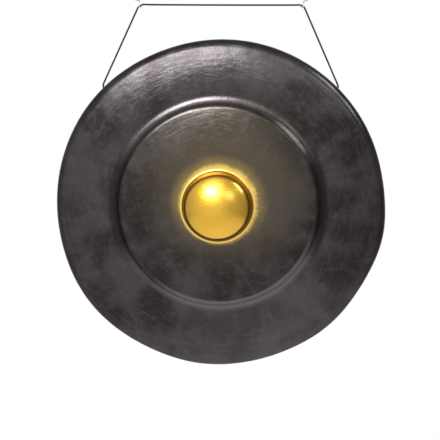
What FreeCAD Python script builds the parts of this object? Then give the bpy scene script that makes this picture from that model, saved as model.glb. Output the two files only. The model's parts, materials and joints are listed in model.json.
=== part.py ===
"""A nipple gong hung on a cord from two S-hooks.

Millimetres. +Z is up, +X is right and the face looks towards -Y. The origin is midway between
the two seats of the hooks, where the load is carried, and the gong hangs below it at rest.
"""

import FreeCAD, Part
import math
import os

import Sketcher
from FreeCAD import Placement, Rotation, Vector

SIZES = {
    # the gong, one piece of beaten bronze
    "gong_diameter": 800,
    "bronze_thickness": 3,
    "rim_depth": 90,
    "rim_taper": 10,
    "rim_edge_round": 0.6,
    "shoulder_radius": 28,
    "face_rise": 18,
    "step_inner_diameter": 478,
    "step_run": 15,
    "step_height": 17,
    "step_edge_radius": 8,
    "step_foot_radius": 14,
    "plateau_rise": 16,
    "boss_base_diameter": 170,
    "boss_height": 64,
    "boss_draft": 12,
    "boss_dome_radius": 110,
    "boss_edge_radius": 28,
    "boss_foot_radius": 6,
    # the two holes in the rim
    "hole_diameter": 6,
    "hole_depth": 40,
    "hole_angle": 46,
    # the cord and its stopper knots
    "cord_diameter": 4,
    "cord_standoff": 3.5,
    "cord_bend_radius": 10,
    "cord_joint_gap": 0.4,
    "cord_drop": 201.5,
    "cord_corner_spacing": 397,
    "knot_wrap_radius": 4.3,
    "knot_wraps": 3,
    "knot_wrap_pitch": 3.7,
    "knot_gap": 0.3,
    "knot_tail": 18,
    # the S-hooks
    "hook_wire": 4,
    "hook_crook_radius": 8,
    "hook_seat_radius": 10,
    "hook_seat_tip_angle": 10,
    "hook_tip_round": 1.6,
    "hook_turn": 22,
    "hook_cord_gap": 0.4,
}

X_AXIS = Vector(1, 0, 0)
Y_AXIS = Vector(0, 1, 0)
Z_AXIS = Vector(0, 0, 1)
SIDES = {"left": -1, "right": 1}
CLOSE = 0.05
BRONZE_KG_PER_MM3 = 8.5e-6

doc = FreeCAD.newDocument("nipple_gong")
sheet = doc.addObject("Spreadsheet::Sheet", "Sizes")
for row, (alias, value) in enumerate(SIZES.items(), start=1):
    sheet.set(f"A{row}", alias)
    sheet.set(f"B{row}", str(value))
    sheet.setAlias(f"B{row}", alias)
doc.recompute()


def size(alias):
    return float(sheet.get(alias))


def near(first, second):
    return abs(first - second) < CLOSE


def origin_plane(body, role):
    return next(plane for plane in body.Origin.OriginFeatures if plane.Role == role)


def new_sketch(body, name, role):
    sketch = body.newObject("Sketcher::SketchObject", name)
    sketch.AttachmentSupport = (origin_plane(body, role), [""])
    sketch.MapMode = "FlatFace"
    return sketch


def rule(sketch, *words):
    """A constraint of the sketch with no size of its own, or with a size worked out here."""
    return sketch.addConstraint(Sketcher.Constraint(*words))


def bind(sketch, name, expression, *words):
    """A named dimension of the sketch, tied to the sheet."""
    sketch.renameConstraint(rule(sketch, *words), name)
    sketch.setExpression(f"Constraints.{name}", expression)


def circular_edges(shape, wanted):
    """Names of a shape's circular edges whose circle is a wanted one."""
    return [
        f"Edge{number}" for number, edge in enumerate(shape.Edges, start=1)
        if not edge.Degenerated and isinstance(edge.Curve, Part.Circle) and wanted(edge.Curve)
    ]


def mirror_about_middle(body, name, feature):
    """The feature again on the other side of the body's middle plane."""
    mirrored = body.newObject("PartDesign::Mirrored", name)
    mirrored.Originals = [feature]
    mirrored.MirrorPlane = (origin_plane(body, "YZ_Plane"), [""])
    body.Tip = mirrored
    doc.recompute()
    return mirrored


# The gong's outer profile, in its own frame: the radius along X and the depth behind the face's
# edge along Y. Depths in front of that edge are negative.
taper = math.radians(size("rim_taper"))
draft = math.radians(size("boss_draft"))
shoulder = size("shoulder_radius")
dome_radius = size("boss_dome_radius")
step_foot = Vector(size("step_inner_diameter") / 2 + size("step_run"), -size("face_rise"), 0)
step_edge = step_foot - Vector(size("step_run"), size("step_height"), 0)
boss_foot = Vector(size("boss_base_diameter") / 2, step_edge.y - size("plateau_rise"), 0)
apex = Vector(0, boss_foot.y - size("boss_height"), 0)
dome_centre = apex + Vector(0, dome_radius, 0)
shoulder_centre = Vector(size("gong_diameter") / 2 - shoulder, shoulder, 0)
rim_start = shoulder_centre + Vector(math.cos(taper), math.sin(taper), 0) * shoulder
rim_end = Vector(rim_start.x - (size("rim_depth") - rim_start.y) * math.tan(taper), size("rim_depth"), 0)
back_centre = Vector(0, size("rim_depth"), 0)


def boss_corner():
    """Where the boss's leaning wall meets its dome."""
    along = Vector(-math.sin(draft), -math.cos(draft), 0)
    away = boss_foot - dome_centre
    half = away.dot(along)
    return boss_foot + along * (math.sqrt(half**2 - away.dot(away) + dome_radius**2) - half)


def bow_up_to(start, end):
    """The centre of the arc through both points that is level at its start."""
    span = end - start
    return start + Vector(0, (span.x**2 + span.y**2) / (2 * span.y), 0)


def bow_into_shoulder(start):
    """The centre of the arc that is level at its start and runs smoothly into the shoulder's round."""
    away = shoulder_centre - start
    radius = (away.x**2 + away.y**2 - shoulder**2) / (2 * (away.y - shoulder))
    return start + Vector(0, radius, 0)


def draw_gong_profile(body):
    """The closed half profile with plain corners, apart from the shoulder's round."""
    sketch = new_sketch(body, "GongProfile", "XY_Plane")
    corner = boss_corner()
    plateau_centre = bow_up_to(boss_foot, step_edge)
    face_centre = bow_into_shoulder(step_foot)
    dome_turn = math.atan2(corner.y - dome_centre.y, corner.x)
    plateau_turn = math.atan2(step_edge.y - plateau_centre.y, step_edge.x - plateau_centre.x)
    face_turn = math.atan2(shoulder_centre.y - face_centre.y, shoulder_centre.x - face_centre.x)

    def bow(centre, radius, end):
        return Part.ArcOfCircle(Part.Circle(centre, Z_AXIS, radius), -math.pi / 2, end)

    sketch.addGeometry([
        bow(dome_centre, dome_radius, dome_turn),
        Part.LineSegment(corner, boss_foot),
        bow(plateau_centre, plateau_centre.y - boss_foot.y, plateau_turn),
        Part.LineSegment(step_edge, step_foot),
        bow(face_centre, face_centre.y - step_foot.y, face_turn),
        Part.ArcOfCircle(Part.Circle(shoulder_centre, Z_AXIS, shoulder), face_turn, taper),
        Part.LineSegment(rim_start, rim_end),
        Part.LineSegment(rim_end, back_centre),
        Part.LineSegment(back_centre, apex),
    ], False)
    dome, wall, plateau, step, front, bend, rim, back, axis = range(9)
    for first, second in ((dome, wall), (wall, plateau), (plateau, step), (step, front),
                          (rim, back), (back, axis), (axis, dome)):
        rule(sketch, "Coincident", first, 2, second, 1)
    for bowed in (plateau, front):
        rule(sketch, "Vertical", bowed, 3, bowed, 1)
    rule(sketch, "Tangent", front, 2, bend, 1)
    rule(sketch, "Tangent", bend, 2, rim, 1)
    rule(sketch, "PointOnObject", dome, 1, -2)
    rule(sketch, "PointOnObject", dome, 3, -2)
    rule(sketch, "PointOnObject", back, 2, -2)
    rule(sketch, "Horizontal", back)
    bind(sketch, "dome", "Sizes.boss_dome_radius", "Radius", dome, dome_radius)
    bind(sketch, "boss_rise", "Sizes.boss_height", "DistanceY", dome, 1, wall, 2, size("boss_height"))
    bind(sketch, "boss_lean", "Sizes.boss_draft", "Angle", wall, 2, -2, 2, draft)
    bind(sketch, "boss_base", "Sizes.boss_base_diameter / 2", "DistanceX", -1, 1, wall, 2, boss_foot.x)
    bind(sketch, "plateau_bow", "Sizes.plateau_rise",
         "DistanceY", wall, 2, plateau, 2, size("plateau_rise"))
    bind(sketch, "step_inner", "Sizes.step_inner_diameter / 2", "DistanceX", -1, 1, plateau, 2, step_edge.x)
    bind(sketch, "step_width", "Sizes.step_run", "DistanceX", plateau, 2, step, 2, size("step_run"))
    bind(sketch, "step_rise", "Sizes.step_height", "DistanceY", plateau, 2, step, 2, size("step_height"))
    bind(sketch, "face_bow", "Sizes.face_rise", "DistanceY", step, 2, -1, 1, size("face_rise"))
    bind(sketch, "shoulder_round", "Sizes.shoulder_radius", "Radius", bend, shoulder)
    bind(sketch, "shoulder_out", "Sizes.gong_diameter / 2 - Sizes.shoulder_radius",
         "DistanceX", -1, 1, bend, 3, shoulder_centre.x)
    bind(sketch, "shoulder_back", "Sizes.shoulder_radius", "DistanceY", -1, 1, bend, 3, shoulder)
    bind(sketch, "rim_lean", "Sizes.rim_taper", "Angle", -2, 2, rim, 2, taper)
    bind(sketch, "rim_back", "Sizes.rim_depth", "DistanceY", -1, 1, rim, 2, size("rim_depth"))
    return sketch


def round_corner(body, name, base, radius, corner):
    """The base with one of the profile's corners rounded all the way round."""
    fillet = body.newObject("PartDesign::Fillet", name)
    at_corner = lambda one: near(one.Radius, corner.x) and near(one.Center.y, corner.y)
    fillet.Base = (base, circular_edges(base.Shape, at_corner))
    fillet.setExpression("Radius", f"Sizes.{radius}")
    doc.recompute()
    return fillet


def hollow_out(body, base):
    """The base as a sheet of one thickness, open at the back, with the rim's edge filed round."""
    back_face = next(
        f"Face{number}" for number, face in enumerate(base.Shape.Faces, start=1)
        if isinstance(face.Surface, Part.Plane) and near(face.CenterOfMass.y, size("rim_depth"))
    )
    shell = body.newObject("PartDesign::Thickness", "BronzeShell")
    shell.Base = (base, [back_face])
    shell.setExpression("Value", "Sizes.bronze_thickness")
    shell.Reversed = True
    shell.Mode = "Skin"
    shell.Join = "Intersection"
    doc.recompute()
    filed = body.newObject("PartDesign::Fillet", "FiledRimEdge")
    filed.Base = (shell, circular_edges(shell.Shape, lambda one: near(one.Center.y, size("rim_depth"))))
    filed.setExpression("Radius", "Sizes.rim_edge_round")
    doc.recompute()
    return filed


def drill_rim(body, base):
    """A hole for the cord on each side of the rim, square to the gong's axis."""
    sketch = new_sketch(body, "RimHoleSketch", "YZ_Plane")
    sketch.AttachmentOffset = Placement(Vector(), Rotation(Vector(-1, 0, 0), 90 - size("hole_angle")))
    sketch.setExpression("AttachmentOffset.Rotation.Angle", "90 - Sizes.hole_angle")
    middle = Vector(size("hole_depth"), 0, 0)
    sketch.addGeometry(Part.Circle(middle, Z_AXIS, size("hole_diameter") / 2), False)
    rule(sketch, "PointOnObject", 0, 3, -1)
    bind(sketch, "hole_back", "Sizes.hole_depth", "DistanceX", -1, 1, 0, 3, size("hole_depth"))
    bind(sketch, "hole_size", "Sizes.hole_diameter", "Diameter", 0, size("hole_diameter"))
    hole = body.newObject("PartDesign::Pocket", "RimHole")
    hole.Profile = sketch
    hole.Type = "Length"
    hole.setExpression("Length", "Sizes.gong_diameter")
    hole.Reversed = True
    doc.recompute()
    both = mirror_about_middle(body, "BothRimHoles", hole)
    drilled = base.Shape.Volume - both.Shape.Volume
    wall = size("bronze_thickness") / math.cos(taper)
    expected = 2 * math.pi * (size("hole_diameter") / 2) ** 2 * wall
    print(f"rim holes take out {drilled:.1f} mm3, about {expected:.1f} expected")
    if not 0.9 * expected < drilled < 1.1 * expected:
        raise ValueError("the rim holes aren't where the rim is")


def make_gong():
    body = doc.addObject("PartDesign::Body", "Gong")
    body.Label = "gong"
    solid = body.newObject("PartDesign::Revolution", "GongSolid")
    solid.Profile = draw_gong_profile(body)
    solid.ReferenceAxis = (solid.Profile[0], ["V_Axis"])
    solid.Angle = 360
    doc.recompute()
    rounded = round_corner(body, "BossEdge", solid, "boss_edge_radius", boss_corner())
    rounded = round_corner(body, "BossFoot", rounded, "boss_foot_radius", boss_foot)
    rounded = round_corner(body, "StepEdge", rounded, "step_edge_radius", step_edge)
    rounded = round_corner(body, "StepFoot", rounded, "step_foot_radius", step_foot)
    drill_rim(body, hollow_out(body, rounded))
    return body


gong = make_gong()

# The cord leaves the rim square to the gong's axis and turns up at a pivot a little way out from
# the rim. The gong rocks about the line through the two pivots.
hole_turn = math.radians(size("hole_angle"))
cord_radius = size("cord_diameter") / 2
rim_at_hole = rim_start.x - (size("hole_depth") - rim_start.y) * math.tan(taper)
pivot_radius = rim_at_hole + size("cord_standoff")
pivot_height = pivot_radius * math.cos(hole_turn)
pivot_x = pivot_radius * math.sin(hole_turn)

# A knot lies flat on the leaning inside of the rim, clear of it by the gap where it is nearest.
knot_radius = size("knot_wrap_radius") + cord_radius
knot_length = (size("knot_wraps") - 1) * size("knot_wrap_pitch") + size("cord_diameter")
rim_inside = rim_at_hole - size("bronze_thickness") / math.cos(taper)
knot_start = rim_inside - knot_radius * math.tan(taper) - size("knot_gap")

# The gong hangs with its centre of mass under the pivots. They lie behind it, so the face looks
# a little down.
mass_centre = gong.Shape.Solids[0].CenterOfMass
hang_tilt = math.degrees(math.atan2(size("hole_depth") - mass_centre.y, pivot_height - mass_centre.z))

# The cord is level between the hooks and runs down to the pivots. Its pull leans each hook in by
# half the angle that the cord turns through.
leg_angle = math.atan2(size("cord_drop"), pivot_x - size("cord_corner_spacing") / 2)
lean = leg_angle / 2
bend_cut = size("cord_bend_radius") * (1 / math.cos(lean) - 1)
wire_radius = size("hook_wire") / 2
crook_middle = size("hook_crook_radius") + wire_radius
seat_middle = size("hook_seat_radius") + wire_radius
crook_to_seat = crook_middle + seat_middle
cord_in_crook = size("hook_crook_radius") - cord_radius - size("hook_cord_gap")
seat_to_corner = size("hook_seat_radius") + crook_to_seat + cord_in_crook - bend_cut
run_z = -seat_to_corner * math.cos(lean)
pivot_z = run_z - size("cord_drop")

tilt = Rotation(X_AXIS, hang_tilt)
pivot_in_gong = Vector(0, size("hole_depth"), pivot_height)
gong.Placement = Placement(Vector(0, 0, pivot_z) - tilt.multVec(pivot_in_gong), tilt)


def make_cord():
    """The free stretch of the cord: half of it swept from the middle, and the other half its mirror."""
    body = doc.addObject("PartDesign::Body", "SuspensionCord")
    body.Label = "suspension_cord"
    bend = size("cord_bend_radius")
    corner = Vector(size("cord_corner_spacing") / 2, run_z, 0)
    down = Vector(math.cos(leg_angle), -math.sin(leg_angle), 0)
    cut = bend * math.tan(lean)
    end = Vector(pivot_x, pivot_z, 0) - down * (cord_radius + size("cord_joint_gap"))
    bend_circle = Part.Circle(corner - Vector(cut, bend, 0), Z_AXIS, bend)
    path = new_sketch(body, "CordPath", "XZ_Plane")
    path.addGeometry([
        Part.LineSegment(Vector(0, run_z, 0), corner - Vector(cut, 0, 0)),
        Part.ArcOfCircle(bend_circle, math.pi / 2 - leg_angle, math.pi / 2),
        Part.LineSegment(corner + down * cut, end),
    ], False)
    run, turn, leg = range(3)
    rule(path, "Tangent", run, 2, turn, 2)
    rule(path, "Tangent", turn, 1, leg, 1)
    rule(path, "Horizontal", run)
    rule(path, "PointOnObject", run, 1, -2)
    rule(path, "DistanceY", run, 1, -1, 1, -run_z)
    rule(path, "DistanceY", leg, 2, -1, 1, -end.y)
    rule(path, "DistanceX", -1, 1, leg, 2, end.x)
    rule(path, "Angle", -1, 2, leg, 2, -leg_angle)
    bind(path, "bend", "Sizes.cord_bend_radius", "Radius", turn, bend)
    section = new_sketch(body, "CordSection", "YZ_Plane")
    section.addGeometry(Part.Circle(Vector(0, run_z, 0), Z_AXIS, cord_radius), False)
    rule(section, "PointOnObject", 0, 3, -2)
    rule(section, "DistanceY", 0, 3, -1, 1, -run_z)
    bind(section, "cord", "Sizes.cord_diameter", "Diameter", 0, size("cord_diameter"))
    half = body.newObject("PartDesign::AdditivePipe", "HalfCord")
    half.Profile = section
    half.Spine = (path, ["Edge1", "Edge2", "Edge3"])
    doc.recompute()
    mirror_about_middle(body, "WholeCord", half)
    length = 2 * path.Shape.Length
    swept = length * math.pi * cord_radius**2
    print(f"free cord {length:.1f} mm long, bent round the hooks at {bend:.1f} mm")
    print(f"cord volume {body.Shape.Volume:.0f} mm3, its section times its length {swept:.0f} mm3")
    return body


def on_hole_axis(side, radius):
    """A placement on a rim hole's axis, this far from the gong's axis, with Z towards that axis."""
    inward = Vector(-side * math.sin(hole_turn), 0, -math.cos(hole_turn))
    place = Y_AXIS * size("hole_depth") - inward * radius
    return gong.Placement.multiply(Placement(place, Rotation(Y_AXIS.cross(inward), Y_AXIS, inward)))


def make_cord_end(name, side):
    """The short stretch from the pivot through the rim to the knot, with a round start."""
    title = name.title()
    ball = doc.addObject("Part::Sphere", f"{title}CordTurn")
    ball.setExpression("Radius", "Sizes.cord_diameter / 2")
    rod = doc.addObject("Part::Cylinder", f"{title}CordInHole")
    rod.setExpression("Radius", "Sizes.cord_diameter / 2")
    rod.Height = pivot_radius - knot_start
    end = doc.addObject("Part::Fuse", f"{title}CordEnd")
    end.Base = ball
    end.Tool = rod
    end.Label = f"{name}_cord_end"
    end.Placement = on_hole_axis(side, pivot_radius)
    return end


def make_knot(name, side):
    """A stopper knot: wraps side by side round the cord, and the cord's short tail."""
    title = name.title()
    core = doc.addObject("Part::Cylinder", f"{title}KnotCore")
    core.setExpression("Radius", "Sizes.knot_wrap_radius")
    core.Height = knot_length
    tail = doc.addObject("Part::Cylinder", f"{title}KnotTail")
    tail.setExpression("Radius", "Sizes.cord_diameter / 2")
    tail.Height = knot_length + size("knot_tail")
    pieces = [core, tail]
    for turn in range(int(size("knot_wraps"))):
        wrap = doc.addObject("Part::Torus", f"{title}KnotWrap{turn + 1}")
        wrap.setExpression("Radius1", "Sizes.knot_wrap_radius")
        wrap.setExpression("Radius2", "Sizes.cord_diameter / 2")
        wrap.Placement = Placement(Z_AXIS * (cord_radius + turn * size("knot_wrap_pitch")), Rotation())
        pieces.append(wrap)
    knot = doc.addObject("Part::MultiFuse", f"{title}StopperKnot")
    knot.Shapes = pieces
    knot.Label = f"{name}_stopper_knot"
    knot.Placement = on_hole_axis(side, knot_start)
    return knot


def place_hook(body, side):
    """The hook leans in with the cord's pull, and is turned so that its open side shows."""
    up = Vector(side * math.sin(lean), 0, math.cos(lean))
    inward = Vector(-side * math.cos(lean), 0, math.sin(lean))
    turn = math.radians(size("hook_turn"))
    shank = Y_AXIS * math.cos(turn) + inward * math.sin(turn)
    corner = Vector(side * size("cord_corner_spacing") / 2, 0, run_z)
    crook_centre = corner + up * (cord_in_crook - bend_cut)
    body.Placement = Placement(crook_centre, Rotation(shank, up.cross(shank), up))
    seat = crook_centre + up * (crook_to_seat + size("hook_seat_radius"))
    print(f"{body.Label}'s seat is at {seat.x:.2f}, {seat.y:.2f}, {seat.z:.2f} mm")


def make_hook(name, side):
    """An S-hook of round wire: a small crook round the cord and a larger one over the support."""
    title = name.title()
    body = doc.addObject("PartDesign::Body", f"{title}Hook")
    body.Label = f"{name}_hook"
    tip_turn = math.radians(size("hook_seat_tip_angle"))
    crook_tip = Vector(-crook_middle, 0, 0)
    seat_centre = Vector(0, crook_to_seat, 0)
    seat_tip = seat_centre + Vector(math.cos(tip_turn), math.sin(tip_turn), 0) * seat_middle
    path = new_sketch(body, f"{title}HookPath", "XZ_Plane")
    path.addGeometry([
        Part.ArcOfCircle(Part.Circle(Vector(), Z_AXIS, crook_middle), -math.pi, math.pi / 2),
        Part.ArcOfCircle(Part.Circle(seat_centre, Z_AXIS, seat_middle), tip_turn, 1.5 * math.pi),
    ], False)
    crook, seat = range(2)
    rule(path, "Coincident", crook, 3, -1, 1)
    rule(path, "PointOnObject", crook, 1, -1)
    rule(path, "PointOnObject", crook, 2, -2)
    rule(path, "PointOnObject", seat, 3, -2)
    rule(path, "Coincident", crook, 2, seat, 2)
    bind(path, "crook", "Sizes.hook_crook_radius + Sizes.hook_wire / 2", "Radius", crook, crook_middle)
    bind(path, "seat", "Sizes.hook_seat_radius + Sizes.hook_wire / 2", "Radius", seat, seat_middle)
    between_centres = "Sizes.hook_crook_radius + Sizes.hook_seat_radius + Sizes.hook_wire"
    tip_rise = "(Sizes.hook_seat_radius + Sizes.hook_wire / 2) * sin(Sizes.hook_seat_tip_angle * 1 deg)"
    bind(path, "tip", f"{between_centres} + {tip_rise}", "DistanceY", -1, 1, seat, 1, seat_tip.y)
    section = new_sketch(body, f"{title}HookSection", "XY_Plane")
    section.addGeometry(Part.Circle(crook_tip, Z_AXIS, wire_radius), False)
    rule(section, "PointOnObject", 0, 3, -1)
    bind(section, "place", "Sizes.hook_crook_radius + Sizes.hook_wire / 2",
         "DistanceX", 0, 3, -1, 1, crook_middle)
    bind(section, "wire", "Sizes.hook_wire", "Diameter", 0, size("hook_wire"))
    bent = body.newObject("PartDesign::AdditivePipe", f"{title}BentWire")
    bent.Profile = section
    bent.Spine = (path, ["Edge1", "Edge2"])
    doc.recompute()
    tips = [crook_tip, Vector(seat_tip.x, 0, seat_tip.y)]
    at_tip = lambda one: any(near((one.Center - tip).Length, 0) for tip in tips)
    rounded = body.newObject("PartDesign::Fillet", f"{title}HookTips")
    rounded.Base = (bent, circular_edges(bent.Shape, at_tip))
    rounded.setExpression("Radius", "Sizes.hook_tip_round")
    doc.recompute()
    place_hook(body, side)
    return body


nodes = [gong, make_cord()]
for name, side in SIDES.items():
    nodes.append(make_cord_end(name, side))
    nodes.append(make_knot(name, side))
    nodes.append(make_hook(name, side))
doc.recompute()

front_centre = gong.Placement.Base
rim_middle = Vector(0, size("rim_depth"), -(rim_end.x - size("bronze_thickness") / math.cos(taper) / 2))
rim_bottom = gong.Placement.multVec(rim_middle)
print(f"hanging tilt {hang_tilt:.3f} deg, gong {gong.Shape.Volume * BRONZE_KG_PER_MM3:.2f} kg")
print(f"cord run at z {run_z:.2f} mm, pivots at x +-{pivot_x:.2f} mm and z {pivot_z:.2f} mm")
print(f"centre of the face's edge at y {front_centre.y:.2f} mm, z {front_centre.z:.2f} mm")
print(f"middle of the rim's back edge, at the bottom, at y {rim_bottom.y:.2f} mm, z {rim_bottom.z:.2f} mm")

for item in doc.Objects:
    if "Invalid" in item.State or "Error" in item.State:
        raise ValueError(f"{item.Label} is {item.State}")
for node in nodes:
    if node.Shape.isNull() or not node.Shape.isValid():
        raise ValueError(f"{node.Label} has no valid shape")

os.makedirs("parts", exist_ok=True)
for node in nodes:
    node.Shape.exportStep(f"parts/{node.Label}.step")
    print(f"{node.Label}: {len(node.Shape.Solids)} solid, {node.Shape.Volume:.0f} mm3")
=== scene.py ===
"""The looks of a hanging nipple gong: beaten bronze, a braided cord and two bright wire hooks.

Metres, in the part's own frame: +Z up, +X right, and the gong's face looks towards -Y.
"""

import json
import math

import bpy
import numpy as np
from mathutils import Matrix, Vector


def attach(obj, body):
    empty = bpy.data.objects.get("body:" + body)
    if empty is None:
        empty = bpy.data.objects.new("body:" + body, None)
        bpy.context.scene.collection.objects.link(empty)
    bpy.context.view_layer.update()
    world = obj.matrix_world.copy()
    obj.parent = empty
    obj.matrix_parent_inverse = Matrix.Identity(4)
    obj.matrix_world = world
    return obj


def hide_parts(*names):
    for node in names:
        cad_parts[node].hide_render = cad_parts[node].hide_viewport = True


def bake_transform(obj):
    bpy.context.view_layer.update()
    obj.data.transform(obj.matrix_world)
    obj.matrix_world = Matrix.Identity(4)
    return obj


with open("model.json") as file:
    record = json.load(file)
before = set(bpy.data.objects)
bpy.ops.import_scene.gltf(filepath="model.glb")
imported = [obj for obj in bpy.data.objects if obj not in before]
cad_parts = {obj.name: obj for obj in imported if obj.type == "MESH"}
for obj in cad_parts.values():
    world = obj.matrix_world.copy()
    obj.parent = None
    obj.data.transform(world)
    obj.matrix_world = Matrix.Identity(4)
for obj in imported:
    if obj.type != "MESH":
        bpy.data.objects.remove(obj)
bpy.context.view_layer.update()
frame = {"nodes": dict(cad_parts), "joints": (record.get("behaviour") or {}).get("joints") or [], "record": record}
scene = bpy.context.scene
scene.view_settings.view_transform = "Standard"

MM = 0.001
IMAGE_PIXELS = 440

# Places taken from the record: the pivots' height, and the gong's tilt from its rim's resting plane
mounts = {mount["name"]: mount for mount in frame["record"]["mounts"]}
joints = {joint["name"]: joint for joint in frame["joints"]}
REST = mounts["rim_rest"]
TILT = math.atan2(REST["axis"][2], REST["axis"][1])
RUN_Z = joints["cord_swing"]["pos_m"][2]
PIVOT_Z = joints["gong_tilt"]["pos_m"][2]

# The gong's sizes
RIM_RADIUS = 400 * MM
WALL = 3 * MM
RIM_DEPTH = 90 * MM
RIM_TAPER = math.radians(10)
SHOULDER_RADIUS = 28 * MM
FACE_RISE = 18 * MM
STEP_EDGE_RADIUS = 239 * MM
STEP_RUN = 15 * MM
STEP_HEIGHT = 17 * MM
PLATEAU_RISE = 16 * MM
STEP_EDGE_ROUND = 16 * MM
STEP_FOOT_ROUND = 30 * MM
BOSS_RADIUS = 85 * MM
BOSS_HEIGHT = 64 * MM
BOSS_DRAFT = math.radians(12)
BOSS_DOME = 110 * MM
BOSS_EDGE_ROUND = 28 * MM
BOSS_FOOT_ROUND = 6 * MM
HOLE_ANGLE = math.radians(46)
HOLE_DEPTH = 40 * MM
HOLE_RADIUS = 3 * MM
CORD_DIAMETER = 4 * MM
CORD_STANDOFF = 3.5 * MM
CORD_END_INSIDE = 9 * MM
LIP_ROUND = 0.6 * MM

# Rings on the gong where its colour or its gloss changes, by their distance from its axis
WALL_START_RING = (71 * MM, 78 * MM)
DOME_RING = (74 * MM, 81 * MM)
HALO_RING = (84 * MM, 108 * MM)
WALL_END_RING = (85 * MM, 86.5 * MM)
BOSS_FOOT_RING = (85.5 * MM, 88 * MM)
FADING_RING = (86 * MM, 126 * MM)
BOSS_RING = (89.5 * MM, 91.5 * MM)
PLATEAU_EDGE_RING = (228 * MM, 240 * MM)
SHOULDER_RING = (372 * MM, 392 * MM)
STEP_SLOPE_LINE = 244.5 * MM
STEP_FOOT_LINE = 253.5 * MM

# Colours that the bronze reflects
PATINA = ((0.030, 0.0250, 0.0243), (0.064, 0.055, 0.0545))
RAW_INSIDE = ((0.060, 0.045, 0.032), (0.120, 0.088, 0.056))
PATCH_COLOUR = (0.088, 0.082, 0.084)
DAB_COLOUR = (0.085, 0.080, 0.080)
STROKE_COLOUR = (0.085, 0.080, 0.082)
SPECK_COLOUR = (0.14, 0.13, 0.12)
HAZE_COLOUR = (0.100, 0.080, 0.056)
WEAR_AND_SHEEN_COLOUR = (0.115, 0.105, 0.105)
FLOOR_REFLECTION_COLOUR = (0.165, 0.150, 0.150)
STEP_FLOOR_REFLECTION_COLOUR = (0.165, 0.155, 0.155)
SIDE_SHADE_COLOUR = (0.016, 0.014, 0.014)
HALO_COLOUR = (0.80, 0.56, 0.13)
GOLD = ((0.74, 0.415, 0.014), (0.76, 0.44, 0.030))
BOSS_WALL_DARK_REFLECTION_COLOUR = (0.30, 0.13, 0.025)
BOSS_FOOT_HIGHLIGHT_COLOUR = (0.80, 0.58, 0.18)


def make_camera():
    """The photograph's view: a long lens, a little to the gong's right and a little below its middle."""
    yaw, pitch, roll = math.radians(3.85), math.radians(-1.52), math.radians(0.67)
    distance = 5.0
    focal_pixels = 2061.3
    target = Vector((0.0034, 0, -0.5531))
    away = Vector((math.sin(yaw) * math.cos(pitch), -math.cos(yaw) * math.cos(pitch), math.sin(pitch)))
    data = bpy.data.cameras.new("camera")
    data.sensor_width = 36
    data.lens = focal_pixels * data.sensor_width / IMAGE_PIXELS
    data.clip_end = 50
    camera = bpy.data.objects.new("camera", data)
    scene.collection.objects.link(camera)
    turn = away.to_track_quat("Z", "Y").to_matrix().to_4x4() @ Matrix.Rotation(roll, 4, "Z")
    camera.matrix_world = Matrix.Translation(target + away * distance) @ turn
    scene.camera = camera


make_camera()


# The gong's outer profile: pairs of the radius and the depth behind the front of the rim's round,
# negative towards the viewer


def arc(centre, radius, start, end, count):
    """Points on an arc, both ends among them."""
    turns = np.linspace(start, end, count)
    return [(centre[0] + radius * math.cos(t), centre[1] + radius * math.sin(t)) for t in turns]


def bowed(start, radius, turn, count):
    """Points on an arc that is level at its start and curves away from the viewer."""
    centre = (start[0], start[1] + radius)
    return arc(centre, radius, -math.pi / 2, turn - math.pi / 2, count)


def rounded(before, corner, after, radius, count):
    """Points of the arc that rounds a corner."""
    a, b, c = (np.array(p) for p in (before, corner, after))
    u = (a - b) / np.linalg.norm(a - b)
    v = (c - b) / np.linalg.norm(c - b)
    half = math.acos(max(-1, min(1, float(u @ v)))) / 2
    middle = (u + v) / np.linalg.norm(u + v)
    centre = b + middle * radius / math.sin(half)
    first = b + u * radius / math.tan(half) - centre
    last = b + v * radius / math.tan(half) - centre
    start = math.atan2(first[1], first[0])
    turn = math.atan2(first[0] * last[1] - first[1] * last[0], float(first @ last))
    return arc(centre, radius, start, start + turn, count)


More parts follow.
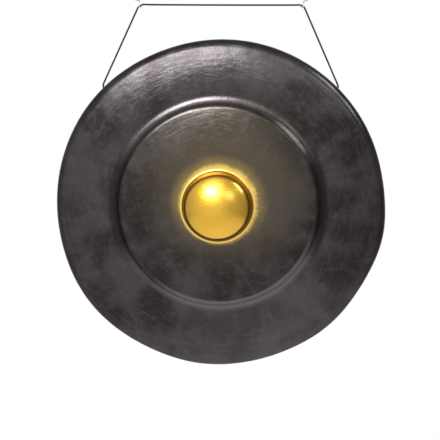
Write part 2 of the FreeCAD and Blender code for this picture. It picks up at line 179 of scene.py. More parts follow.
def outer_profile():
    """The outside of the bronze, from the boss's top to the rim's edge."""
    shoulder_centre = (RIM_RADIUS - SHOULDER_RADIUS, SHOULDER_RADIUS)
    step_foot = (STEP_EDGE_RADIUS + STEP_RUN, -FACE_RISE)
    run, fall = shoulder_centre[0] - step_foot[0], shoulder_centre[1] - step_foot[1]
    face_radius = (run * run + fall * fall - SHOULDER_RADIUS ** 2) / (2 * (fall - SHOULDER_RADIUS))
    face_turn = math.asin(run / (face_radius - SHOULDER_RADIUS))
    face = bowed(step_foot, face_radius, face_turn, 42)
    step_edge = (STEP_EDGE_RADIUS, step_foot[1] - STEP_HEIGHT)
    boss_foot = (BOSS_RADIUS, step_edge[1] - PLATEAU_RISE)
    run = STEP_EDGE_RADIUS - BOSS_RADIUS
    plateau_radius = (run * run + PLATEAU_RISE ** 2) / (2 * PLATEAU_RISE)
    plateau = bowed(boss_foot, plateau_radius, math.asin(run / plateau_radius), 46)
    apex = boss_foot[1] - BOSS_HEIGHT
    dome_centre = (0, apex + BOSS_DOME)

    # The boss's round lies inside the dome and along the leaning wall
    wall = np.array((-math.sin(BOSS_DRAFT), -math.cos(BOSS_DRAFT)))
    inward = np.array((-math.cos(BOSS_DRAFT), math.sin(BOSS_DRAFT)))
    start = np.array(boss_foot) + inward * BOSS_EDGE_ROUND - np.array(dome_centre)
    half = float(start @ wall)
    reach = BOSS_DOME - BOSS_EDGE_ROUND
    along = -half + math.sqrt(half * half - float(start @ start) + reach * reach)
    edge_centre = start + wall * along + np.array(dome_centre)
    edge_turn = math.atan2(edge_centre[1] - dome_centre[1], edge_centre[0])

    points = arc(dome_centre, BOSS_DOME, -math.pi / 2, edge_turn, 26)
    points[0] = (0.0, apex)
    points += arc(edge_centre, BOSS_EDGE_ROUND, edge_turn, -BOSS_DRAFT, 12)[1:]
    foot_arc = rounded(points[-1], boss_foot, plateau[4], BOSS_FOOT_ROUND, 6)
    wall_top, wall_end = np.array(points[-1]), np.array(foot_arc[0])
    points += [tuple(wall_top + (wall_end - wall_top) * s / 6) for s in range(1, 6)]
    points += foot_arc
    edge_arc = rounded(plateau[-4], step_edge, step_foot, STEP_EDGE_ROUND, 8)
    foot_arc = rounded(step_edge, step_foot, face[4], STEP_FOOT_ROUND, 9)
    points += [p for p in plateau if points[-1][0] + MM < p[0] < edge_arc[0][0] - MM]
    points += edge_arc + foot_arc
    points += [p for p in face if points[-1][0] + MM < p[0]]
    points += arc(shoulder_centre, SHOULDER_RADIUS, face_turn - math.pi / 2, RIM_TAPER, 12)[1:]
    top = points[-1]
    for depth in np.linspace(top[1], RIM_DEPTH - LIP_ROUND, 14)[1:]:
        points.append((top[0] - (depth - top[1]) * math.tan(RIM_TAPER), float(depth)))
    return np.array(points)


def inner_profile(outer):
    """The inside of the bronze: every third point of the outside, moved in by the wall."""
    ahead = np.gradient(outer, axis=0)
    normal = np.stack([-ahead[:, 1], ahead[:, 0]], 1)
    normal /= np.linalg.norm(normal, axis=1)[:, None]
    inner = outer + normal * WALL
    inner[0] = (0, outer[0][1] + WALL)
    keep = [0] + list(range(3, len(inner) - 1, 3)) + [len(inner) - 1]
    inner = inner[keep]
    return inner[[0] + [i for i in range(1, len(inner)) if inner[i][0] > 1.5 * MM]]


# Relief of the beaten bronze: shallow dents side by side in rings, and slow waves


def dents(along, radius, turn, pitch, width, seed):
    """How far each point is from the nearest blow, in pitches, on rings laid along the profile."""
    rng = np.random.default_rng(seed)
    rows = int(along.max() / pitch) + 4
    ring_radius = np.interp((np.arange(rows) - 0.5) * pitch, along[:, 0], radius[:, 0])
    counts = np.maximum(7, np.round(2 * math.pi * ring_radius / width)).astype(int)
    table = rng.random((rows, counts.max(), 2)) - 0.5
    shift = rng.random(rows)
    row = np.floor(along / pitch).astype(int) + 1
    nearest = np.full(along.shape, 9.0)
    for ring_step in (-1, 0, 1):
        ring = np.clip(row + ring_step, 0, rows - 1)
        place = turn / (2 * math.pi) * counts[ring] + shift[ring]
        cell = np.floor(place).astype(int)
        for cell_step in (-1, 0, 1):
            jitter = table[ring, (cell + cell_step) % counts[ring]]
            off_ring = along / pitch - (ring - 0.5 + 0.7 * jitter[..., 0])
            off_turn = place - (cell + cell_step + 0.5 + 0.8 * jitter[..., 1])
            nearest = np.minimum(nearest, np.hypot(off_ring, off_turn))
    return nearest


def waves(turn, along, seed, orders, length):
    """A slow wave over the sheet, between about -1 and 1."""
    rng = np.random.default_rng(seed)
    total = np.zeros(np.broadcast(turn, along).shape)
    for order in orders:
        phase = rng.random(2) * 2 * math.pi
        total += np.cos(order * turn + phase[0]) * np.cos(along / length * 2 * math.pi + phase[1])
    return total / math.sqrt(len(orders))


# The outline isn't a true circle: bulges by their direction and half width in degrees and their
# height in millimetres
BULGES = (
    (218, 22, 7.2),
    (112, 26, -5.0),
    (348, 13, 6.2),
    (312, 14, 3.4),
    (262, 14, 2.4),
    (30, 20, 1.6),
)


def outline(turn):
    """How far the rim stands out from a true circle at an angle."""
    out = np.zeros_like(turn)
    for angle, half_width, height in BULGES:
        away = 1 - np.cos(turn - math.radians(angle))
        out += height * MM * np.exp(-away / (1 - math.cos(math.radians(half_width))))
    return out


# Points round each ring of the sheet
STEPS = 400


def sheet_side(profile, normals, strength_at, seed, slow):
    """One side of the bronze sheet as a grid of points, dented by the blows."""
    radius, depth = profile[:, :1], profile[:, 1:]
    along = np.concatenate([[0], np.cumsum(np.linalg.norm(np.diff(profile, axis=0), axis=1))])[:, None]
    turn = np.linspace(0, 2 * math.pi, STEPS, endpoint=False)[None, :]
    broad_turn = np.broadcast_to(turn, (len(profile), STEPS))
    broad_along = np.broadcast_to(along, broad_turn.shape)
    broad_radius = np.broadcast_to(radius, broad_turn.shape)
    long_blows = dents(broad_along, broad_radius, broad_turn, 9 * MM, 34 * MM, seed)
    short_blows = dents(broad_along, broad_radius, broad_turn, 13 * MM, 15 * MM, seed + 1)
    strength = strength_at(along)
    relief = -strength * (1 - np.minimum(1, long_blows / 0.75) ** 2)
    relief += -0.6 * strength * (1 - np.minimum(1, short_blows / 0.75) ** 2)
    relief += slow * waves(turn, along, seed + 2, (3, 5, 8, 11), 0.14) * np.clip(along / 0.2 - 0.4, 0, 1)
    relief -= relief.mean()
    relief[0] = 0
    out = np.clip((radius - 0.28) / 0.1, 0, 1)
    out = out * out * (3 - 2 * out) * outline(turn)
    r = radius + normals[:, :1] * relief + out
    d = depth + normals[:, 1:] * relief
    return np.stack([r * np.cos(turn), np.broadcast_to(d, r.shape), r * np.sin(turn)], 2)


def profile_normals(profile):
    """Normals of the profile, pointing away from the viewer's side of the sheet."""
    ahead = np.gradient(profile, axis=0)
    normal = np.stack([-ahead[:, 1], ahead[:, 0]], 1)
    return normal / np.linalg.norm(normal, axis=1)[:, None]


def strength_outside(along):
    """Depth of the blows on the outside: none on the polished boss, deepest on the margin and rim."""
    places = (0, 0.12, 0.17, 0.30, 0.34, 0.36, 0.44, 0.48, 0.53, 0.60)
    depths = (0.00, 0.00, 0.08, 0.12, 0.02, 0.10, 0.17, 0.28, 0.05, 0.22)
    return np.interp(along, places, depths) * MM


def strength_inside(along):
    return np.interp(along, (0, 0.02, 0.6), (0, 0.22, 0.28)) * MM


def new_mesh(name, points, faces):
    """An object with a smooth-shaded mesh."""
    mesh = bpy.data.meshes.new(name)
    mesh.from_pydata([tuple(p) for p in points], [], faces)
    mesh.validate()
    mesh.shade_smooth()
    piece = bpy.data.objects.new(name, mesh)
    scene.collection.objects.link(piece)
    return piece


def gong_place():
    """The gong's own frame: its centre hangs under the pivots, turned by the tilt about X."""
    rim_at_hole = rim_radius_at(HOLE_DEPTH)
    pivot = Vector((0, HOLE_DEPTH, (rim_at_hole + CORD_STANDOFF) * math.cos(HOLE_ANGLE)))
    turn = Matrix.Rotation(TILT, 4, "X")
    return Matrix.Translation(Vector((0, 0, PIVOT_Z)) - turn @ pivot) @ turn


def rim_radius_at(depth):
    start = RIM_RADIUS - SHOULDER_RADIUS * (1 - math.cos(RIM_TAPER))
    return start - (depth - SHOULDER_RADIUS * (1 + math.sin(RIM_TAPER))) * math.tan(RIM_TAPER)


def make_gong(materials):
    """The bronze as one closed sheet: outside, edge and inside, with the two holes cut through."""
    outer = outer_profile()
    inner = inner_profile(outer)
    outside = sheet_side(outer, -profile_normals(outer), strength_outside, 11, 0.45 * MM)
    inside = sheet_side(inner, profile_normals(inner), strength_inside, 31, 0.25 * MM)
    lip = (outside[-1] + inside[-1]) / 2 + np.array([0, LIP_ROUND, 0])
    rings = list(outside[1:]) + [lip] + list(inside[:0:-1])
    points = [outside[0, 0]] + [p for ring in rings for p in ring] + [inside[0, 0]]
    faces = []
    for j in range(STEPS):
        after = (j + 1) % STEPS
        faces.append((0, 1 + j, 1 + after))
        for i in range(len(rings) - 1):
            a, b = 1 + i * STEPS, 1 + (i + 1) * STEPS
            faces.append((a + j, b + j, b + after, a + after))
        last = 1 + (len(rings) - 1) * STEPS
        faces.append((last + j, len(points) - 1, last + after))
    gong = new_mesh("beaten_gong", points, faces)
    for material in materials:
        gong.data.materials.append(material)
    inner_start = len(outside) - 1
    for number, face in enumerate(gong.data.polygons):
        on_strip = number % (len(rings) + 1)
        face.material_index = 0 if on_strip <= inner_start else 1
    cut_holes(gong)
    places = gong.data.attributes.new("place", "FLOAT_VECTOR", "POINT")
    places.data.foreach_set("vector", [c for v in gong.data.vertices for c in v.co])
    gong.data.transform(gong_place())
    gong.data.shade_smooth()
    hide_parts("gong")
    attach(gong, "hung_gong")


def cut_holes(gong):
    """Drills the two holes for the cord through the rim, in the gong's own frame."""
    for side in (-1, 1):
        outward = Vector((side * math.sin(HOLE_ANGLE), 0, math.cos(HOLE_ANGLE)))
        middle = outward * rim_radius_at(HOLE_DEPTH) + Vector((0, HOLE_DEPTH, 0))
        turn = outward.to_track_quat("Z", "Y").to_matrix().to_4x4()
        drill = bpy.data.meshes.new("drill")
        sides = 24
        length = 12 * MM
        turns = np.linspace(0, 2 * math.pi, sides + 1)[:-1]
        ring = [(HOLE_RADIUS * math.cos(t), HOLE_RADIUS * math.sin(t)) for t in turns]
        points = [(x, y, z) for z in (-length, length) for x, y in ring]
        faces = [tuple(range(sides - 1, -1, -1)), tuple(range(sides, 2 * sides))]
        faces += [(i, (i + 1) % sides, sides + (i + 1) % sides, sides + i) for i in range(sides)]
        drill.from_pydata(points, [], faces)
        cutter = bpy.data.objects.new("drill", drill)
        scene.collection.objects.link(cutter)
        cutter.matrix_world = Matrix.Translation(middle) @ turn
        cut = gong.modifiers.new("hole", "BOOLEAN")
        cut.object = cutter
        cut.solver = "EXACT"
        bpy.context.view_layer.update()
        mesh = bpy.data.meshes.new_from_object(gong.evaluated_get(bpy.context.evaluated_depsgraph_get()))
        gong.modifiers.clear()
        gong.data = mesh
        bpy.data.objects.remove(cutter)


# Materials


def new_material(name):
    material = bpy.data.materials.new(name)
    material.use_nodes = True
    return material, material.node_tree.nodes, material.node_tree.links


def node(nodes, links, kind, inputs=None, **settings):
    """A shader node with its settings, and its inputs joined to sockets or set to values."""
    made = nodes.new(kind)
    for name, value in settings.items():
        setattr(made, name, value)
    for name, value in (inputs or {}).items():
        if isinstance(value, bpy.types.NodeSocket):
            links.new(value, made.inputs[name])
        else:
            made.inputs[name].default_value = value
    return made


def bronze_material(name, outside):
    """Patina over the beaten bronze; outside, the boss and a halo round it are polished bright."""
    material, nodes, links = new_material(name)
    shader = nodes["Principled BSDF"]

    def add(kind, inputs=None, **settings):
        return node(nodes, links, kind, inputs, **settings)

    def maths(operation, first, second=0.0, third=0.0):
        return add("ShaderNodeMath", {0: first, 1: second, 2: third}, operation=operation).outputs[0]

    def span(value, low, high, to_low=0.0, to_high=1.0):
        return add("ShaderNodeMapRange", {0: value, 1: low, 2: high, 3: to_low, 4: to_high},
                   interpolation_type="SMOOTHSTEP").outputs[0]

    def noise(vector, scale, detail=3.0, roughness=0.55):
        return add("ShaderNodeTexNoise", {"Vector": vector, "Scale": scale, "Detail": detail,
                                          "Roughness": roughness}).outputs[0]

    def blend(factor, first, second):
        mixed = add("ShaderNodeMix", {0: factor}, data_type="RGBA")
        for socket, value in ((6, first), (7, second)):
            if isinstance(value, bpy.types.NodeSocket):
                links.new(value, mixed.inputs[socket])
            else:
                mixed.inputs[socket].default_value = (*value, 1)
        return mixed.outputs[2]

    def distance(along_x, along_z):
        squared_x = maths("MULTIPLY", along_x, along_x)
        squared_z = maths("MULTIPLY", along_z, along_z)
        return maths("SQRT", maths("ADD", squared_x, squared_z))

    def around(axis_x, axis_z, reach, drawn):
        """Coordinates that run round the gong, with features drawn out along or across its rings."""
        return add("ShaderNodeCombineXYZ", {
            0: maths("MULTIPLY", axis_x, drawn),
            1: maths("MULTIPLY", reach, 12.0),
            2: maths("MULTIPLY", axis_z, drawn),
        }).outputs[0]

    place = add("ShaderNodeAttribute", attribute_name="place").outputs["Vector"]
    axes = add("ShaderNodeSeparateXYZ", {0: place})
    x, y, z = axes.outputs
    radius = distance(x, z)
    safe = maths("MAXIMUM", radius, 0.02)
    east, north = maths("DIVIDE", x, safe), maths("DIVIDE", z, safe)
    reach = maths("ADD", radius, y)

    # Soft clouds, patches and dabs of thinner patina, strokes along the rings, and bright specks
    clouds = noise(place, 8.0, 4.0, 0.6)
    patches = noise(place, 34.0, 4.0, 0.7)
    dabs = noise(place, 60.0, 4.0, 0.65)
    strokes = noise(around(east, north, reach, 1.0), 9.0, 4.0, 0.6)
    specks = noise(place, 320.0, 2.0, 0.6)

    dark = blend(span(clouds, 0.38, 0.62), *(PATINA if outside else RAW_INSIDE))
    dark = blend(span(patches, 0.50, 0.72, 0.0, 0.4), dark, PATCH_COLOUR)
    dark = blend(span(dabs, 0.50, 0.85, 0.0, 0.45), dark, DAB_COLOUR)
    dark = blend(span(strokes, 0.50, 0.78, 0.0, 0.5), dark, STROKE_COLOUR)
    dark = blend(span(specks, 0.70, 0.80, 0.0, 0.6), dark, SPECK_COLOUR)
    rough = maths("MULTIPLY_ADD", maths("SUBTRACT", dabs, 0.5), 0.15, 0.26)
    if outside:
        # A warm haze, brightest a little above the boss
        haze = distance(maths("SUBTRACT", x, 20 * MM), maths("SUBTRACT", z, 50 * MM))
        dark = blend(span(haze, 90 * MM, 240 * MM, 0.85, 0.0), dark, HAZE_COLOUR)

        # The step's foot and the shoulder are painted a little brighter: partly rubbed wear, partly a painted
        # highlight along these bands
        off_foot = maths("ABSOLUTE", maths("SUBTRACT", radius, STEP_FOOT_LINE))
        at_foot = span(off_foot, 4 * MM, 12 * MM, 1.0, 0.0)
        wear_and_sheen = maths("MAXIMUM", at_foot, span(radius, *SHOULDER_RING, 0.0, 0.35))
        dark = blend(maths("MULTIPLY", wear_and_sheen, 0.35), dark, WEAR_AND_SHEEN_COLOUR)

        # Painted reflection of the pale floor: the bottom of the face is paler, most of all on the step, and
        # painted shade darkens the step's sides
        facing = maths("SUBTRACT", maths("MULTIPLY", east, 0.30), maths("MULTIPLY", north, 0.95))
        low = maths("MULTIPLY", span(facing, 0.70, 0.96), span(radius, *PLATEAU_EDGE_RING))
        dark = blend(maths("MULTIPLY", low, 0.18), dark, FLOOR_REFLECTION_COLOUR)
        off_slope = maths("ABSOLUTE", maths("SUBTRACT", radius, STEP_SLOPE_LINE))
        step_reflection = maths("MULTIPLY", span(off_slope, 6 * MM, 13 * MM, 1.0, 0.0), span(facing, 0.40, 0.80))
        dark = blend(maths("MULTIPLY", step_reflection, 0.75), dark, STEP_FLOOR_REFLECTION_COLOUR)
        rough = maths("MULTIPLY_ADD", step_reflection, 0.22, rough)
        # Painted shade: the step's foot is darkened at its left and right sides
        at_sides = span(maths("ABSOLUTE", east), 0.80, 0.95)
        side_shade = maths("MULTIPLY", span(off_foot, 6 * MM, 20 * MM, 1.0, 0.0), at_sides)
        dark = blend(maths("MULTIPLY", side_shade, 0.75), dark, SIDE_SHADE_COLOUR)

        # The polishing wore a halo into the patina: widest above, thin below, with radial scratches
        scratches = maths("SUBTRACT", noise(around(east, north, reach, 9.0), 5.0, 3.0, 0.6), 0.5)
        blotches = maths("SUBTRACT", noise(place, 26.0, 2.0), 0.5)
        scratched = maths("ADD", maths("MULTIPLY", east, 0.9), maths("MULTIPLY", north, 0.4))
        scratched = maths("MAXIMUM", scratched, 0.0)
        lean = maths("ADD", maths("MULTIPLY", north, 6.5 * MM), maths("MULTIPLY", east, 2.5 * MM))
        edge = maths("SUBTRACT", radius, lean)
        edge = maths("MULTIPLY_ADD", scratches, maths("MULTIPLY_ADD", scratched, 16 * MM, 4 * MM), edge)
        edge = maths("MULTIPLY_ADD", blotches, 12 * MM, edge)
        halo = maths("POWER", span(edge, *HALO_RING, 1.0, 0.0), 1.6)
        fading = maths("MULTIPLY", span(edge, *FADING_RING, 0.24, 0.0), span(north, -0.9, 0.1, 0.1, 1.0))
        halo = maths("MAXIMUM", halo, fading)
        colour = blend(halo, dark, HALO_COLOUR)

        # The boss is bright gold; its wall is browner, a painted dark reflection, and a paler line round its foot
        # is a painted highlight
        boss = span(radius, *BOSS_RING, 1.0, 0.0)
        gold = blend(span(noise(place, 18.0, 2.0), 0.35, 0.7), *GOLD)
        wall = maths("MULTIPLY", span(radius, *WALL_START_RING), span(radius, *WALL_END_RING, 1.0, 0.0))
        gold = blend(maths("MULTIPLY", wall, 0.75), gold, BOSS_WALL_DARK_REFLECTION_COLOUR)
        gold = blend(span(radius, *BOSS_FOOT_RING), gold, BOSS_FOOT_HIGHLIGHT_COLOUR)
        colour = blend(boss, colour, gold)
        rough = maths("MULTIPLY_ADD", maths("MAXIMUM", boss, halo), 0.08, rough)

        # The boss's dome is waxed: smoother than its wall, under a thin clear coat
        waxed = span(radius, *DOME_RING, 1.0, 0.0)
        rough = add("ShaderNodeMix", {0: waxed, 2: rough, 3: span(dabs, 0.2, 0.8, 0.23, 0.29)}).outputs[0]
        links.new(waxed, shader.inputs["Coat Weight"])
        shader.inputs["Coat Roughness"].default_value = 0.22
    else:
        colour = dark
        rough = maths("ADD", rough, 0.12)
    links.new(colour, shader.inputs["Base Color"])
    links.new(rough, shader.inputs["Roughness"])
    shader.inputs["Metallic"].default_value = 1.0
    shader.inputs["Specular Tint"].default_value = (0.6, 0.6, 0.6, 1)

    fine = add("ShaderNodeBump", {"Height": maths("ADD", dabs, maths("MULTIPLY", strokes, 1.5)),
                                  "Strength": 0.5, "Distance": 0.6 * MM})
    grain = add("ShaderNodeBump", {"Height": specks, "Strength": 0.12, "Distance": 0.3 * MM,
                                   "Normal": fine.outputs[0]})
    links.new(grain.outputs[0], shader.inputs["Normal"])
    return material


def cord_material():
    material, nodes, links = new_material("black_cord")
    shader = nodes["Principled BSDF"]
    place = node(nodes, links, "ShaderNodeTexCoord").outputs["Object"]
    fibres = node(nodes, links, "ShaderNodeTexNoise", {"Vector": place, "Scale": 900.0, "Detail": 3.0})
    mixed = node(nodes, links, "ShaderNodeMix", {0: fibres.outputs[0]}, data_type="RGBA")
    mixed.inputs[6].default_value = (0.005, 0.005, 0.005, 1)
    mixed.inputs[7].default_value = (0.020, 0.020, 0.019, 1)
    links.new(mixed.outputs[2], shader.inputs["Base Color"])
    shader.inputs["Roughness"].default_value = 0.75
    shader.inputs["Specular IOR Level"].default_value = 0.25
    bump = node(nodes, links, "ShaderNodeBump", {"Height": fibres.outputs[0], "Strength": 0.4,
                                                 "Distance": 0.2 * MM})
    links.new(bump.outputs[0], shader.inputs["Normal"])
    return material


def steel_material():
    material, nodes, links = new_material("plated_wire")
    shader = nodes["Principled BSDF"]
    place = node(nodes, links, "ShaderNodeTexCoord").outputs["Object"]
    blotches = node(nodes, links, "ShaderNodeTexNoise", {"Vector": place, "Scale": 260.0, "Detail": 4.0})
    mixed = node(nodes, links, "ShaderNodeMix", {0: blotches.outputs[0]}, data_type="RGBA")
    mixed.inputs[6].default_value = (0.78, 0.74, 0.66, 1)
    mixed.inputs[7].default_value = (0.88, 0.86, 0.82, 1)
    links.new(mixed.outputs[2], shader.inputs["Base Color"])
    shader.inputs["Metallic"].default_value = 1.0
    rough = node(nodes, links, "ShaderNodeMapRange", {0: blotches.outputs[0], 3: 0.12, 4: 0.32})
    links.new(rough.outputs[0], shader.inputs["Roughness"])
    return material


# The cord: one line from the left knot over both hooks to the right knot

CORNER_X = 198.5 * MM
PIVOT_X = 289.04 * MM


def route():
    """The cord's points, left to right, mirrored about the middle."""
    place = gong_place()
    outward = Vector((math.sin(HOLE_ANGLE), 0, math.cos(HOLE_ANGLE)))
    inside = place @ (outward * (rim_radius_at(HOLE_DEPTH) - CORD_END_INSIDE) + Vector((0, HOLE_DEPTH, 0)))
    leg = Vector((CORNER_X - PIVOT_X, 0, RUN_Z - PIVOT_Z)).normalized()
    pivot = Vector((PIVOT_X, 0, PIVOT_Z))
    corner = Vector((CORNER_X + 0.9 * MM, 0, RUN_Z + 1.5 * MM))
    near = 24 * MM
    right = [
        Vector((CORNER_X - near, 0, RUN_Z)),
        corner,
        corner - leg * near,
        pivot + leg * near,
        pivot,
        inside,
    ]
    left = [Vector((-p.x, p.y, p.z)) for p in reversed(right)]
    return left + right


def smooth_line(points, resolution):
    """Points along the NURBS line of a route."""
    curve = bpy.data.curves.new("route", "CURVE")
    curve.dimensions = "3D"
    spline = curve.splines.new("NURBS")
    spline.points.add(len(points) - 1)
    for control, point in zip(spline.points, points):
        control.co = (*point, 1)
    spline.order_u = 3
    spline.use_endpoint_u = True
    spline.resolution_u = resolution
    carrier = bpy.data.objects.new("route", curve)
    scene.collection.objects.link(carrier)
    bpy.context.view_layer.update()
    mesh = bpy.data.meshes.new_from_object(carrier.evaluated_get(bpy.context.evaluated_depsgraph_get()))
    line = np.array([v.co for v in mesh.vertices])
    bpy.data.objects.remove(carrier)
    return line


def resample(line, pitch):
    lengths = np.concatenate([[0], np.cumsum(np.linalg.norm(np.diff(line, axis=0), axis=1))])
    count = max(2, int(round(lengths[-1] / pitch)) + 1)
    steps = np.linspace(0, lengths[-1], count)
    return np.stack([np.interp(steps, lengths, line[:, i]) for i in range(3)], 1), lengths[-1]


def braided_tube(name, line, diameter, sides=20, pitch=0.7 * MM):
    """A tube along a line with the small crossing ridges of a braided cord."""
    line, length = resample(line, pitch)
    ahead = np.gradient(line, axis=0)
    ahead /= np.linalg.norm(ahead, axis=1)[:, None]
    side = np.array([0.0, 1.0, 0.0])
    points, faces = [], []
    turns = np.linspace(0, 2 * math.pi, sides, endpoint=False)
    for i, (middle, forward) in enumerate(zip(line, ahead)):
        side = side - forward * float(side @ forward)
        side /= np.linalg.norm(side)
        other = np.cross(forward, side)
        along = i * length / (len(line) - 1) / (6 * MM) * 2 * math.pi
        weave = np.abs(np.sin(2 * turns + along)) * np.abs(np.sin(2 * turns - along))
        radius = diameter / 2 * (1.04 + 0.08 * weave)
        end = min(i, len(line) - 1 - i) * pitch
        if end < diameter / 2:
            radius = radius * math.sqrt(max(0.04, 1 - (1 - end / (diameter / 2)) ** 2))
        ring = middle + np.outer(np.cos(turns) * radius, side) + np.outer(np.sin(turns) * radius, other)
        points.extend(ring)
    for i in range(len(line) - 1):
        for j in range(sides):
            after = (j + 1) % sides
            faces.append((i * sides + j, (i + 1) * sides + j, (i + 1) * sides + after, i * sides + after))
    faces.append(tuple(range(sides)))
    faces.append(tuple(range(len(points) - 1, len(points) - 1 - sides, -1)))
    return new_mesh(name, points, faces), length


def make_cord(material):
    line = smooth_line(route(), 32)
    cord, length = braided_tube("braided_cord", line, CORD_DIAMETER)
    cord.data.materials.append(material)
    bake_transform(cord)
    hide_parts("suspension_cord", "left_cord_end", "right_cord_end")
    return cord, line, length


KNOT_START = 4.6 * MM
KNOT_RADIUS = 4.2 * MM
KNOT_PITCH = 3.8 * MM
KNOT_WRAPS = 3
KNOT_DEPTH = 11.5 * MM
KNOT_TAIL = 18 * MM
KNOT_CORD = 3.9 * MM


def make_knot(name, side, material):
    """Three wraps of the cord round itself, pulled tight, and a tail with a melted tip."""
    outward = Vector((side * math.sin(HOLE_ANGLE), 0, math.cos(HOLE_ANGLE)))
    start = outward * (rim_radius_at(HOLE_DEPTH) - KNOT_START) + Vector((0, HOLE_DEPTH, 0))
    start = gong_place() @ start
    inward = (gong_place().to_3x3() @ -outward).normalized()
    across = (gong_place().to_3x3() @ Vector((0, 1, 0))).normalized()
    third = inward.cross(across)
    turns = np.linspace(-0.35, KNOT_WRAPS + 0.15, 90)
    line = []
    for t in turns:
        angle = 2 * math.pi * t
        depth = 2 * MM + max(0, min(KNOT_WRAPS - 1, t - 0.5)) * KNOT_PITCH
        out = across * math.cos(angle) + third * math.sin(angle)
        line.append(start + inward * depth + out * KNOT_RADIUS)
    last = line[-1]
    for step in range(1, 9):
        share = step / 8
        tail = start + inward * (KNOT_DEPTH + KNOT_TAIL * share) + across * 1.5 * MM * share
        line.append(last.lerp(tail, share))
    knot, _ = braided_tube(name, np.array([tuple(p) for p in line]), KNOT_CORD, 14, 0.8 * MM)
    knot.data.materials.append(material)
    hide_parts(f"{'left' if side < 0 else 'right'}_stopper_knot")
    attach(knot, "hung_gong")
    return knot


# Light: a soft box at the upper left, a weak fill and a window at the right, in a plain pale studio


def aim(piece, target):
    piece.rotation_mode = "QUATERNION"
    piece.rotation_quaternion = (piece.location - Vector(target)).to_track_quat("Z", "Y")


def area_light(name, azimuth, elevation, distance, width, height, radiance, colour=(1, 1, 1)):
    """A lamp seen from the boss at these angles: azimuth from the front towards +X."""
    boss = Vector((0, -0.1, -0.51))
    data = bpy.data.lights.new(name, "AREA")
    data.shape = "RECTANGLE"
    data.size, data.size_y = width, height
    data.energy = radiance * width * height * math.pi
    data.color = colour
    lamp = bpy.data.objects.new(name, data)
    scene.collection.objects.link(lamp)
    lamp.location = boss + toward(azimuth, elevation) * distance
    aim(lamp, boss)
    lamp.visible_camera = False


def toward(azimuth, elevation):
    """A direction seen from the gong: azimuth from the front towards +X."""
    a, e = math.radians(azimuth), math.radians(elevation)
    return Vector((math.sin(a) * math.cos(e), -math.cos(a) * math.cos(e), math.sin(e)))


def room_light(nodes, links):
    """How bright the pale room is in each direction that a surface can see."""
    place = node(nodes, links, "ShaderNodeTexCoord").outputs["Generated"]

    def part(direction, low, high, to_low, to_high):
        along = node(nodes, links, "ShaderNodeVectorMath", {0: place, 1: tuple(direction)},
                     operation="DOT_PRODUCT")
        return node(nodes, links, "ShaderNodeMapRange",
                    {0: along.outputs["Value"], 1: low, 2: high, 3: to_low, 4: to_high},
                    interpolation_type="SMOOTHSTEP").outputs[0]

    front = part((0, -1, 0), -0.1, 0.9, 0.45, 0.92)
    side = part((1, 0, 0), -0.1, 0.7, 1.0, 0.55)
    below = part((0, 0, -1), 0.35, 0.95, 0.1, 0.9)
    glow = part(toward(-12, 34), 0.84, 0.99, 0.0, 1.5)
    behind = part((0, 1, 0), 0.45, 0.9, 0.0, 0.7)
    walls = node(nodes, links, "ShaderNodeMath", {0: front, 1: side}, operation="MULTIPLY").outputs[0]
    total = walls
    for light in (below, glow, behind):
        total = node(nodes, links, "ShaderNodeMath", {0: total, 1: light}, operation="ADD").outputs[0]
    return total


FLOOR_Z = -1.5
FLOOR_RADIUS = 1.6
FLOOR_SIDES = 96


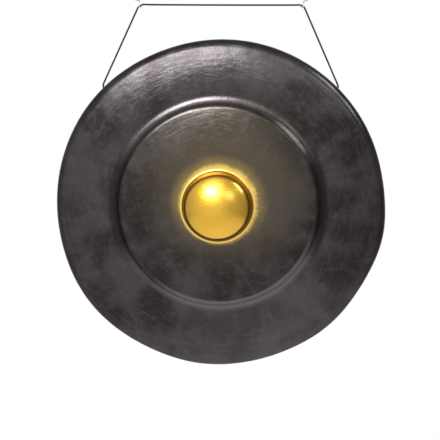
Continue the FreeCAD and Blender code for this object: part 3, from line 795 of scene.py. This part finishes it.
def make_studio():
    area_light("soft_box", azimuth=-18, elevation=28, distance=6, width=2.9, height=2.3, radiance=19,
               colour=(0.90, 0.95, 1.0))
    area_light("fill", azimuth=32, elevation=20, distance=6, width=2.0, height=2.0, radiance=2)
    area_light("window", azimuth=79, elevation=40, distance=2.6, width=0.7, height=1.1, radiance=8,
               colour=(0.76, 0.94, 1.0))
    world = bpy.data.worlds.new("studio")
    scene.world = world
    world.use_nodes = True
    nodes, links = world.node_tree.nodes, world.node_tree.links
    nodes.clear()
    path = node(nodes, links, "ShaderNodeLightPath")
    seen = node(nodes, links, "ShaderNodeMath",
                {0: path.outputs["Is Camera Ray"], 1: path.outputs["Is Transmission Ray"]},
                operation="MAXIMUM")
    strength = node(nodes, links, "ShaderNodeMix", {0: seen.outputs[0], 2: room_light(nodes, links), 3: 1.0})
    background = node(nodes, links, "ShaderNodeBackground",
                      {"Color": (1, 1, 1, 1), "Strength": strength.outputs[0]})
    output = node(nodes, links, "ShaderNodeOutputWorld")
    links.new(background.outputs[0], output.inputs[0])

    floor_material, nodes, links = new_material("pale_floor")
    shader = nodes["Principled BSDF"]
    shader.inputs["Base Color"].default_value = (0.86, 0.86, 0.86, 1)
    shader.inputs["Roughness"].default_value = 0.9
    # Painted light: in reflections the floor glows as an emitter, a pool of light brightest under the gong
    path = node(nodes, links, "ShaderNodeLightPath")
    position = node(nodes, links, "ShaderNodeNewGeometry").outputs["Position"]
    spot = node(nodes, links, "ShaderNodeVectorMath", {0: position, 1: (0, 0, FLOOR_Z)}, operation="DISTANCE")
    bright = node(nodes, links, "ShaderNodeMapRange",
                  {0: spot.outputs["Value"], 1: 0.3, 2: 1.5, 3: 1.1, 4: 0.9}, interpolation_type="SMOOTHSTEP")
    lit = node(nodes, links, "ShaderNodeEmission", {"Strength": bright.outputs[0]})
    mirrored = node(nodes, links, "ShaderNodeMixShader",
                    {0: path.outputs["Is Glossy Ray"], 1: shader.outputs[0], 2: lit.outputs[0]})
    links.new(mirrored.outputs[0], nodes["Material Output"].inputs[0])
    turns = np.linspace(0, 2 * math.pi, FLOOR_SIDES + 1)[:-1]
    edge = [(FLOOR_RADIUS * math.cos(t), FLOOR_RADIUS * math.sin(t), FLOOR_Z) for t in turns]
    floor = new_mesh("floor", edge, [tuple(range(FLOOR_SIDES))])
    floor.data.materials.append(floor_material)


make_studio()
patina = bronze_material("patina", True)
raw_inside = bronze_material("raw_inside", False)
black = cord_material()
steel = steel_material()

cord, cord_line, cord_length = make_cord(black)
knots = [make_knot("left_wrapped_knot", -1, black), make_knot("right_wrapped_knot", 1, black)]
make_gong((patina, raw_inside))
for name in ("left_hook", "right_hook"):
    hook = frame["nodes"][name]
    hook.data.materials.clear()
    hook.data.materials.append(steel)
